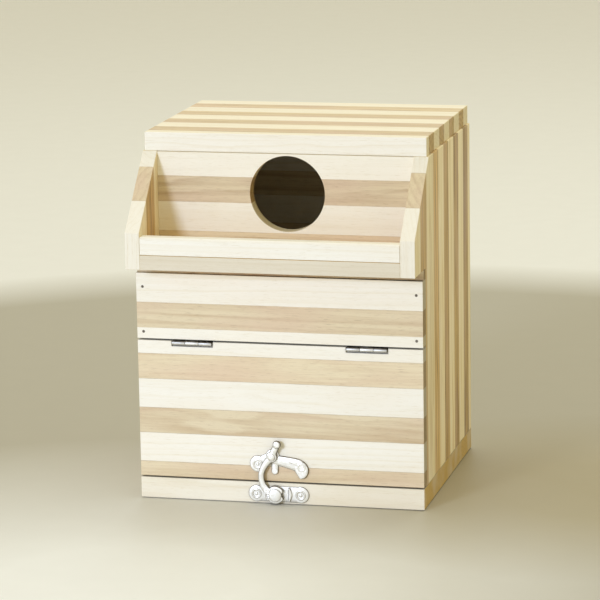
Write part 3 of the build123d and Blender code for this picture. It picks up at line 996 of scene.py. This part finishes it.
# %% Geometry Nodes: set out copies
def set_out_tree():
    """The tree that puts a copy of a part on every point."""
    tree, given = open_tree("set_out", {"Geometry": "Geometry", "Part": "Object", "Turn": "Vector",
                                        "Size spread": "Float", "Seed": "Int", "Material": "Material"})
    points = given["Geometry"]
    part = points.node("GeometryNodeObjectInfo", None, {"Object": given["Part"]}, "Geometry")
    turn = points.node("FunctionNodeRandomValue", {"data_type": "FLOAT_VECTOR"},
                       {"Min": given["Turn"].scaled(-1.0), "Max": given["Turn"], "Seed": given["Seed"]},
                       "Value")
    size = points.node("FunctionNodeRandomValue", {"data_type": "FLOAT"},
                       {"Min": 1 - given["Size spread"], "Max": 1 + given["Size spread"],
                        "Seed": given["Seed"] + 1}, "Value")
    copies = points.node("GeometryNodeInstanceOnPoints", None,
                         {"Points": points, "Instance": part, "Rotation": turn, "Scale": size})
    close_tree(copies, given["Material"])
    return tree


set_out = set_out_tree()


def hand_over_copies(part, name, places, body, slot, node, turn=(0.0, 0.0, 0.0), size_spread=0.0, seed=1):
    """Copies of a part at some places, made one plain mesh and handed over."""
    points = point_object(f"{name}_points", places)
    run_tree(points, set_out, part=part, turn=turn, size_spread=size_spread, seed=seed,
             material=finishes[slot])
    piece = plain(name, points)
    for face in piece.data.polygons:
        face.use_smooth = True
    hand_over(piece, body, slot, node)


print("tree", set_out.name, "has", len(set_out.nodes), "nodes")

# %% [markdown]
# Round metal parts are turned: a profile, given as distances from the middle and heights above the
# wood, goes once round an axis, as on a lathe. That makes nails, the hinge's pin, rings and domes.

# %% Turned parts and brads
nail_crown = [(0, 1.0), (0.45, 0.97), (0.78, 0.8), (0.95, 0.45), (1.0, 0.1), (0.96, 0.0)]
nail_steps = 24
point_long = 1.6
brad_shank = 0.7
brad_sunk = 0.3 * MM
brad_short = 1 * MM
brad_crown_tall = 0.18 * MM


def join_rims(work, one, other):
    """Close the band between two rings of points. A ring may also be a single point."""
    count = max(len(one), len(other))
    for index in range(count):
        after = (index + 1) % count
        corners = [one[index % len(one)], one[after % len(one)],
                   other[after % len(other)], other[index % len(other)]]
        corners = list(dict.fromkeys(corners))
        if len(corners) > 2:
            work.faces.new(corners)


def turned(work, profile, place=(0, 0, 0), facing="front", steps=nail_steps):
    """Turn a closed profile of (radius, height) around an axis. The axis points out of the wood
    to the front, or up, down or to the side."""
    rims = []
    for radius, height in profile:
        rim = []
        for across, up in ring_of(radius, steps) if radius > 0 else [(0, 0)]:
            spot = {"front": (across, -height, up), "up": (across, up, height),
                    "down": (across, up, -height), "side": (height, across, up)}[facing]
            rim.append(work.verts.new(Vector(place) + Vector(spot)))
        rims.append(rim)
    for one, other in zip(rims, rims[1:]):
        join_rims(work, one, other)


def nail(name, shank, long, head, head_tall, facing="front"):
    """A nail: domed head with a flattened crown, straight shank and a point."""
    profile = [(radius * head / 2, height * head_tall) for radius, height in nail_crown]
    profile += [(shank / 2, 0), (shank / 2, shank * point_long - long), (0, -long)]
    work = bmesh.new()
    turned(work, profile, facing=facing)
    return keep_aside(new_object(name, work))


low, high = brad_boxes[0]
brad_head = high.z - low.z
brad_long = high.y - low.y - brad_sunk - brad_short
brad = nail("brad", brad_head * brad_shank, brad_long, brad_head, brad_crown_tall)
places = [(spot.x, wood_face + brad_sunk, spot.z) for spot in (middle_of(*box) for box in brad_boxes)]
hand_over_copies(brad, "strip_brads", places, "box", "brad_steel", "front_strip_brads",
                 turn=(0.06, 3.0, 0.06), size_spread=0.04, seed=5)

# %% [markdown]
# A butt hinge is two stamped leaves, each rolled into knuckles around one pin. The rolled part is a
# ring that stays open by a slit, and its ends are a little rounded. Ring and leaf are joined with
# boolean unions.

# %% Hinges
roll_open = math.radians(16)
slit_turn = math.radians(30)
roll_steps = 40
knuckle_gap = 0.15 * MM
knuckle_ease = 0.12 * MM
leaf_ease = 0.06 * MM
leaf_corner = 0.9 * MM
root_behind, root_above = 0.75, 0.3
root_overlap = 0.4 * MM
nail_hole_radius = 0.55 * MM
nail_hole_past = 1 * MM
pin_play = 0.05 * MM
sheet_gap = 0.25 * MM
pin_end = [(0, 0), (0.7, 0.02 * MM), (1.0, 0.2 * MM)]
hinge_nail_shank = 0.5
hinge_nail_head = 0.25 * MM
hinge_nail_short = 0.3 * MM

pin_low, pin_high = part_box("hinge_pins")
pin_radius = (pin_high.z - pin_low.z) / 2
ring_hole = pin_radius + pin_play
sheet_front = pin_middle.y + barrel_radius + sheet_gap
hinge_x = [(start + end) / 2 for start, end in hinge_spans]
hinge_half = (hinge_spans[0][1] - hinge_spans[0][0]) / 2
third = hinge_half / 3


def knuckle(start, end, open_at):
    """A rolled ring around the pin, open by a slit."""
    turns = [open_at + roll_open / 2 + (2 * math.pi - roll_open) * step / roll_steps
             for step in range(roll_steps + 1)]
    outline = [(0, barrel_radius * math.cos(angle), barrel_radius * math.sin(angle)) for angle in turns]
    outline += [(0, ring_hole * math.cos(angle), ring_hole * math.sin(angle)) for angle in reversed(turns)]
    made = raised("knuckle", outline, (start, pin_middle.y, pin_middle.z), (end - start, 0, 0))
    ease(made, knuckle_ease)
    return made


def leaf(name, top, spans, open_at, nails_node):
    """One leaf of a hinge, around x = 0: a flat sheet with nail holes and its rolled knuckles."""
    under = top - leaf_thick
    back = leaf_high.y
    inner = hinge_half - leaf_corner
    outline = [(-hinge_half, sheet_front, 0), (-hinge_half, back - leaf_corner, 0), (-inner, back, 0),
               (inner, back, 0), (hinge_half, back - leaf_corner, 0), (hinge_half, sheet_front, 0)]
    sheet = raised(name, outline, (0, 0, under), (0, 0, leaf_thick))
    circle = [(across, up, 0) for across, up in ring_of(nail_hole_radius, nail_steps)]
    for spot in [middle_of(*box) for box in islands(nails_node) if box[0].x < 0]:
        place = (spot.x - hinge_x[0], spot.y, under - nail_hole_past)
        hole = raised("nail_hole", circle, place, (0, 0, leaf_thick + 2 * nail_hole_past))
        join_or_cut(sheet, hole, "DIFFERENCE")
    for start, end in spans:
        root = solid("root", (start, pin_middle.y + barrel_radius * root_behind,
                              min(under, pin_middle.z + barrel_radius * root_above)),
                     (end, sheet_front + root_overlap, top))
        join_or_cut(sheet, root, "UNION")
        join_or_cut(sheet, knuckle(start, end, open_at), "UNION")
        print(name, "knuckle from", round(start / MM, 2), "to", round(end / MM, 2))
    ease(sheet, leaf_ease, 1)
    return keep_aside(sheet)


middle_span = [(-third + knuckle_gap / 2, third - knuckle_gap / 2)]
outer_spans = [(-hinge_half, -third - knuckle_gap / 2), (third + knuckle_gap / 2, hinge_half)]
upper_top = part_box("hinge_upper_leaves")[1].z
upper_leaf = leaf("upper_leaf", upper_top, middle_span, slit_turn, "hinge_upper_nails")
lower_leaf = leaf("lower_leaf", door_high.z, outer_spans, -slit_turn, "hinge_lower_nails")

half_pin = [(pin_radius * share, hinge_half - inward) for share, inward in pin_end]
pin_profile = half_pin + [(radius, -height) for radius, height in reversed(half_pin)]
work = bmesh.new()
turned(work, pin_profile, (0, pin_middle.y, pin_middle.z), "side")
pin = keep_aside(new_object("hinge_pin", work))

middles = [(x, 0, 0) for x in hinge_x]
hand_over_copies(upper_leaf, "upper_hinge_leaves", middles, "box", "hinge_nickel", "hinge_upper_leaves")
hand_over_copies(lower_leaf, "lower_hinge_leaves", middles, "door", "hinge_nickel", "hinge_lower_leaves")
hand_over_copies(pin, "both_hinge_pins", middles, "box", "hinge_nickel", "hinge_pins")

low, high = islands("hinge_upper_nails")[0]
nail_long = high.z - low.z
for node, body, facing, seed in (("hinge_upper_nails", "box", "down", 8),
                                 ("hinge_lower_nails", "door", "up", 9)):
    boxes = islands(node)
    low, high = boxes[0]
    level = low.z + hinge_nail_head if facing == "down" else high.z - hinge_nail_head
    part = nail(f"{node}_part", (high.x - low.x) * hinge_nail_shank, nail_long - hinge_nail_short,
                high.x - low.x, hinge_nail_head, facing)
    places = [(*middle_of(*box).xy, level) for box in boxes]
    hand_over_copies(part, f"{node}_turned", places, body, "brad_steel", node,
                     turn=(0.0, 0.0, 3.0), seed=seed)

# %% [markdown]
# The clasp is cast and pressed, and has no sharp corner anywhere. A bevel can't blend domes,
# ribs and rings into each other like that. So each piece is first piled up from simple overlapping
# shapes, as a modeller builds with clay. A voxel remesh then makes one skin over the pile, and a
# light smoothing rounds every inner and outer corner alike. Lengths here are in millimetres.

# %% Clay tools
voxel = 0.13 * MM
smooth_rounds = 4
dome_steps = 56
ring_steps = 48
tube_steps = 8
ring_root = 0.4
half_round = [(-1, 0), (-1, 0.4), (-0.86, 0.74), (-0.55, 0.94), (0, 1), (0.55, 0.94), (0.86, 0.74),
              (1, 0.4), (1, 0)]
pressed_edge = [(0, 0), (1.0, 0), (1.0, 0.45), (0.95, 0.78), (0.86, 0.95), (0.7, 1.0), (0, 1.0)]


def out(x, z, height):
    """A place on the front: x and z, and a height above the wood."""
    return Vector((x * MM, wood_face - height * MM, z * MM))


def spot_of(low, high):
    """The middle of a box, as (x, z)."""
    middle = middle_of(low, high)
    return middle.x / MM, middle.z / MM


def dome(work, x, z, profile):
    """A turned shape on the front."""
    turned(work, [(radius * MM, height * MM) for radius, height in profile], out(x, z, 0), steps=dome_steps)


def disc(work, x, z, radius, low, high):
    """A flat round patch with a soft edge, between two heights."""
    dome(work, x, z, [(share * radius, low + (high - low) * rise) for share, rise in pressed_edge])


def pressed_ring(work, x, z, radius, wide, low, high):
    """A raised ring, half round, with its middle line at the given radius."""
    turns = [math.pi * step / tube_steps for step in range(tube_steps + 1)]
    profile = [(radius + wide / 2 * math.cos(angle), low + (high - low) * math.sin(angle))
               for angle in turns]
    profile += [(radius - wide / 2, low - ring_root), (radius + wide / 2, low - ring_root)]
    rims = [[work.verts.new(out(x + far * across, z + far * up, height))
             for across, up in ring_of(1.0, ring_steps)] for far, height in profile]
    for one, other in zip(rims, rims[1:] + rims[:1]):
        join_rims(work, one, other)


def bar(work, path, low, high):
    """A rounded bar along a path of (x, z, width), between two heights above the wood."""
    rows = []
    for index, (x, z, wide) in enumerate(path):
        before = path[max(index - 1, 0)]
        after = path[min(index + 1, len(path) - 1)]
        run = Vector((after[0] - before[0], after[1] - before[1])).normalized()
        side = Vector((-run.y, run.x)) * wide / 2
        rows.append([work.verts.new(out(x + side.x * share, z + side.y * share, low + (high - low) * rise))
                     for share, rise in half_round])
    for one, other in zip(rows, rows[1:]):
        join_rims(work, one, other)
    work.faces.new(rows[0])
    work.faces.new(list(reversed(rows[-1])))


def bend(points, steps=24):
    """A smooth path through a few (x, z, width) points (a Catmull-Rom spline)."""
    ends = [points[0], *points, points[-1]]
    made = []
    for a, b, c, d in zip(ends, ends[1:], ends[2:], ends[3:]):
        for step in range(steps):
            t = step / steps
            made.append(tuple(0.5 * (2 * q + (r - p) * t + (2 * p - 5 * q + 4 * r - s) * t * t
                                     + (3 * q - p - 3 * r + s) * t ** 3)
                              for p, q, r, s in zip(a, b, c, d)))
    made.append(points[-1])
    return made


def curved_bar(work, points, low, high):
    """A rounded bar that runs smoothly through a few (x, z, width) points."""
    bar(work, bend(points), low, high)


def arc(x, z, radius, first, last, wide, steps=40):
    """A path along a circle, with a width."""
    turns = [math.radians(first + (last - first) * step / steps) for step in range(steps + 1)]
    return [(x + radius * math.cos(angle), z + radius * math.sin(angle), wide) for angle in turns]


def hand_over_clay(name, work, body, node):
    """One soft skin over a pile of overlapping shapes, handed over in nickel."""
    pile = new_object("pile", work)
    modifier(pile, "REMESH", mode="VOXEL", voxel_size=voxel, use_smooth_shade=True)
    modifier(pile, "SMOOTH", factor=0.5, iterations=smooth_rounds)
    hand_over_nickel(name, pile, body, node)


def hand_over_dome(name, x, z, profile, body, node):
    """One turned shape, rounded by subdivision and handed over in nickel."""
    work = bmesh.new()
    dome(work, x, z, profile)
    shape = new_object("turned", work)
    modifier(shape, "SUBSURF", levels=1, render_levels=1)
    hand_over_nickel(name, shape, body, node)


def hand_over_nickel(name, thing, body, node):
    """A finished part of the clasp as a plain mesh of nickel, handed over."""
    piece = plain(name, thing)
    piece.data.materials.append(finishes["clasp_nickel"])
    hand_over(piece, body, "clasp_nickel", node)


print("one voxel is", voxel / MM, "mm")

# %% [markdown]
# The clasp's lower plate has two round ends with a ring pressed around each nail, a narrow waist
# with two ribs, and a round middle that carries the catch stud. The stud is a post with a domed
# head, which the arm's hook slips under from the left.

# %% Lower plate and catch stud
plate_thick = 0.9
lobe_radius = 4.25
waist_wide = 8.2
stud_disc = 4.6
rib_reach = 6.1

lower_nails = [spot_of(*box) for box in islands("clasp_lower_nails")]
level = spot_of(*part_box("clasp_lower_plate"))[1]
clasp_x = sum(x for x, z in lower_nails) / 2
stud_low, stud_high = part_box("clasp_catch_stud")
stud_x, stud_z = spot_of(stud_low, stud_high)

work = bmesh.new()
bar(work, [(x, level, waist_wide) for x, z in lower_nails], 0, plate_thick)
for x, z in lower_nails:
    disc(work, x, z, lobe_radius, 0, plate_thick)
    pressed_ring(work, x, z, 2.15, 0.85, plate_thick - 0.1, plate_thick + 0.4)
disc(work, stud_x, stud_z, stud_disc, 0, plate_thick)
for side in (-1, 1):
    x = clasp_x + side * rib_reach
    rib = [(x - side * 0.7, level - 3.3, 1.1), (x, level, 1.8), (x - side * 0.7, level + 3.3, 1.1)]
    curved_bar(work, rib, plate_thick - 0.2, plate_thick + 0.55)
hand_over_clay("clasp_base_plate", work, "box", "clasp_lower_plate")

stud_radius = (stud_high.x - stud_low.x) / 2 / MM
post = (wood_face - stud_low.y) / MM
stud_profile = [(0, 0), (stud_radius, 0), (stud_radius, post - 0.1), (3.05, post - 0.05),
                (3.35, post + 0.15), (3.25, post + 0.5), (2.7, post + 0.72), (1.5, post + 0.82),
                (0, post + 0.85)]
hand_over_dome("clasp_stud", stud_x, stud_z, stud_profile, "box", "clasp_catch_stud")

# %% [markdown]
# The upper plate sits on the door: a round lobe with a ringed nail on the left, a curved wing that
# tapers down to the right, a short tongue, and a boss that the arm turns on.

# %% Upper plate
boss_tall = 1.6
wing_tall = plate_thick + 0.5
tongue_tall = plate_thick + 0.1
tongue_x = -3.0

pivot = next(joint for joint in frame["joints"] if joint["name"] == "clasp_pivot")["pos_m"]
pivot_x, pivot_z = pivot[0] / MM, pivot[2] / MM
upper_nails = [spot_of(*box) for box in islands("clasp_upper_nails")]
(lobe_x, lobe_z), (wing_x, wing_z) = upper_nails
lobe_path = [(lobe_x, lobe_z, 5.8), (pivot_x, pivot_z - 0.3, 6.0)]
boss_profile = [(0, 0.2), (2.3, 0.2), (2.25, boss_tall - 0.2), (2.0, boss_tall), (0, boss_tall)]
wing_path = [(pivot_x + 0.6, pivot_z - 1.6, 4.6), (pivot_x + 6.0, pivot_z - 2.6, 5.6),
             (wing_x - 2.6, wing_z + 0.9, 6.6), (wing_x - 0.4, wing_z - 0.6, 7.0)]
wing_tip = [(wing_x - 0.4, wing_z - 0.6, 7.0), (wing_x + 0.1, wing_z - 1.6, 6.9),
            (wing_x + 0.3, wing_z - 3.0, 5.6), (wing_x, wing_z - 4.3, 3.6),
            (wing_x - 0.5, wing_z - 5.2, 1.6)]
wing_rib = [(wing_x - 6.2, wing_z + 2.6, 1.0), (wing_x - 3.2, wing_z + 1.8, 1.6),
            (wing_x - 1.9, wing_z + 0.9, 1.0)]
tongue_path = [(tongue_x, pivot_z - 1.5, 3.4), (tongue_x, pivot_z - 5.2, 3.7),
               (tongue_x, pivot_z - 8.1, 3.2)]

work = bmesh.new()
disc(work, lobe_x, lobe_z, lobe_radius, 0, plate_thick)
curved_bar(work, lobe_path, 0, plate_thick)
disc(work, pivot_x, pivot_z, 3.6, 0, plate_thick)
dome(work, pivot_x, pivot_z, boss_profile)
curved_bar(work, wing_path, 0, wing_tall)
for x, z, wide in bend(wing_tip):
    disc(work, x, z, wide / 2, 0, wing_tall)
curved_bar(work, wing_rib, plate_thick, wing_tall + 0.2)
curved_bar(work, tongue_path, 0, tongue_tall)
disc(work, tongue_x, pivot_z - 7.6, 1.75, 0, tongue_tall)
pressed_ring(work, lobe_x, lobe_z, 2.1, 0.8, plate_thick - 0.1, plate_thick + 0.32)
pressed_ring(work, wing_x, wing_z, 1.75, 0.75, wing_tall - 0.1, wing_tall + 0.2)
hand_over_clay("clasp_door_plate", work, "door", "clasp_upper_plate")

# %% [markdown]
# The arm turns on a rivet: a thumb knob on a short neck above, a curved shank below, and an open
# hook that rounds the stud from the left. Six short ribs are pressed across the hook. All of it
# lies a hair in front of both plates, so that it can swing.

# %% Arm and rivet
hook_radius = 3.25
hook_wide = 2.8
hook_ends = (38, 325)
knob = (-1.3, 31.2)
shank_end = (-6.8, 7.2)
shank_path = [(pivot_x, pivot_z, 4.0), (-7.6, 20.6, 3.3), (-9.7, 15.6, 3.0), (-9.1, 10.6, 3.3),
              (*shank_end, 4.0)]
neck_path = [(pivot_x, pivot_z, 4.6), (-3.2, 27.3, 3.6), (-2.1, 29.4, 3.4), (*knob, 3.6)]
rib_from, rib_to, rib_wide = 3.3, 4.2, 0.55
rib_first, rib_step, rib_count = 128, 15, 6
arm_thick = 1.25
rivet_play = 0.08
pin_shank, pin_long, pin_head, pin_head_tall = 1.1 * MM, 6.6 * MM, 1.7 * MM, 0.4 * MM

arm_low, arm_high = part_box("clasp_arm")
arm_back = (wood_face - arm_high.y) / MM
arm_front = arm_back + arm_thick
knob_top = (wood_face - arm_low.y) / MM
knob_profile = [(0, arm_back), (1.3, arm_back), (1.9, arm_back + 0.5), (2.05, arm_back + 1.2),
                (1.95, knob_top - 0.6), (1.6, knob_top - 0.15), (1.1, knob_top), (0, knob_top)]


def by_stud(angle, radius):
    """A place around the stud, by angle in degrees and radius."""
    turn = math.radians(angle)
    return stud_x + radius * math.cos(turn), stud_z + radius * math.sin(turn)


work = bmesh.new()
curved_bar(work, shank_path, arm_back, arm_front)
disc(work, *shank_end, 2.0, arm_back, arm_front)
for angle in range(rib_first, rib_first + rib_count * rib_step, rib_step):
    rib = [(*by_stud(angle, radius), rib_wide) for radius in (rib_from, rib_to)]
    bar(work, rib, arm_front - 0.1, arm_front + 0.3)
bar(work, arc(stud_x, stud_z, hook_radius, *hook_ends, hook_wide), arm_back, arm_front + 0.15)
for angle in hook_ends:
    disc(work, *by_stud(angle, hook_radius), hook_wide / 2, arm_back, arm_front + 0.1)
disc(work, pivot_x, pivot_z, 2.8, arm_back, arm_front)
curved_bar(work, neck_path, arm_back, arm_front + 0.3)
dome(work, *knob, knob_profile)
hand_over_clay("clasp_swing_arm", work, "clasp_arm", "clasp_arm")

rivet_top = (wood_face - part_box("clasp_rivet")[0].y) / MM
head = arm_front + rivet_play
rivet_profile = [(0, 0), (1.1, 0), (1.1, head), (1.85, head + 0.02), (2.0, head + 0.15),
                 (1.75, head + 0.4), (1.1, rivet_top - 0.04), (0.5, rivet_top), (0, rivet_top)]
hand_over_dome("clasp_arm_rivet", pivot_x, pivot_z, rivet_profile, "door", "clasp_rivet")

for name, spots, body, node, seed in (("clasp_base_pins", lower_nails, "box", "clasp_lower_nails", 21),
                                      ("clasp_door_pins", upper_nails, "door", "clasp_upper_nails", 22)):
    part = nail(f"{name}_part", pin_shank, pin_long, pin_head, pin_head_tall)
    places = [out(x, z, plate_thick) for x, z in spots]
    hand_over_copies(part, name, places, body, "clasp_nickel", node,
                     turn=(0.08, 3.0, 0.08), size_spread=0.03, seed=seed)

for tool in hidden_tools:
    bpy.data.objects.remove(tool)
print("removed", len(hidden_tools), "tools")

# %% [markdown]
# The stage is a wide floor of matt paper. A painted pool of light makes it brightest just in front
# of the box and greyer further out, and a warm painted shade lies on the shaded side, where light
# comes back from the timber. Beyond a round field it is pale again. All of this is painted on the
# floor by distances from three places, so that it looks the same from every side.

# %% Floor
floor_half = 8.0
field_end = (0.47, 0.56)
painted_light_middle, painted_light_reach = (-0.04, -0.2, 0), (0.06, 0.27)
shaded, warm_shade_reach, warm_shade_show = (0.15, 0.0, 0), (0.16, 0.05), 0.7
mottle_scale, mottle_detail = 60, 3
mottle_least, mottle_show = 0.98, 0.04
floor_rough = 0.5
floor_specular = 0.35


def floor_material():
    """Matt paper: a field around the object with a painted pool of light in front and warm painted shade on the
    shaded side, and cream beyond it.
    """
    material, shader, start = open_material("floor_paper")
    place = start.node("ShaderNodeTexCoord", None, None, "Object")

    def far_from(spot):
        return place.vector("DISTANCE", place, spot, out="Value")

    mottle = place.node("ShaderNodeTexNoise", None,
                        {"Vector": place, "Scale": mottle_scale, "Detail": mottle_detail}, "Fac")
    # The painted pool of light, then the warm painted shade, then the cream beyond the field.
    field = mix(between(far_from(painted_light_middle), *painted_light_reach), srgb(240, 241, 239), srgb(173, 167, 146))
    field = mix(between(far_from(shaded), *warm_shade_reach) * warm_shade_show, field, srgb(162, 148, 104))
    colour = mix(between(far_from((0, 0, 0)), *field_end), field, srgb(234, 234, 230))
    colour = colour.scaled(mottle_least + mottle_show * mottle)
    start.tree.links.new(colour.socket, shader.inputs["Base Color"])
    shader.inputs["Roughness"].default_value = floor_rough
    shader.inputs["Specular IOR Level"].default_value = floor_specular
    return material


work = bmesh.new()
work.faces.new([work.verts.new((x * floor_half, y * floor_half, 0))
                for x, y in ((-1, -1), (1, -1), (1, 1), (-1, 1))])
floor = new_object("floor", work)
floor.data.materials.append(floor_material())
floor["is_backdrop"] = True
print("floor of", 2 * floor_half, "m with a field of", field_end[0], "m")

# %% [markdown]
# The photograph has one large light in front, a little to the left: the front is bright, and the
# right side is in soft shade. A big area lamp does that, and a weaker one lights the roof. The
# world adds even, warm light from all round. The camera and mirroring metal see it brighter.

# %% Lights and world
def area_light(name, place, side, watts, colour):
    """A square lamp that faces the middle of the box."""
    lamp = bpy.data.lights.new(name, "AREA")
    lamp.size = side
    lamp.energy = watts
    lamp.color = colour
    toward = middle_of(cad_low, cad_high) - Vector(place)
    turn = toward.to_track_quat("-Z", "Y").to_matrix().to_4x4()
    add_object(name, lamp).matrix_world = Matrix.Translation(place) @ turn


world_light = 0.68
area_light("key", (-0.78, -1.9, 0.64), 0.4, 23.5, (0.64, 0.737, 0.98))
area_light("top", (0.1, 0.7, 1.5), 1.0, 7.5, (0.92, 0.98, 1.0))
world = bpy.data.worlds.new("studio")
world.use_nodes = True
bpy.context.scene.world = world
sky = world.node_tree
background = sky.nodes["Background"]
seen = Signal(sky).node("ShaderNodeLightPath", None, None, "Is Camera Ray")
mirrored = seen.output("Is Glossy Ray")
sky_colour = mix(seen, srgb(254, 243, 202), srgb(236, 232, 218))
sky_colour = mix(mirrored, sky_colour, srgb(252, 251, 247))
sky.links.new(sky_colour.socket, background.inputs["Color"])
shown = seen.maths("MAXIMUM", seen, mirrored)
sky.links.new((world_light + (1 - world_light) * shown).socket, background.inputs["Strength"])
bpy.context.scene.view_settings.view_transform = "Standard"

# The dressed box is measured, and its growth over the CAD box is printed.

# %% Sizes and finish
dressed_low, dressed_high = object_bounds()
growth = (dressed_high - dressed_low) - (cad_high - cad_low)
print("grown by", [round(side / MM, 2) for side in growth], "mm")
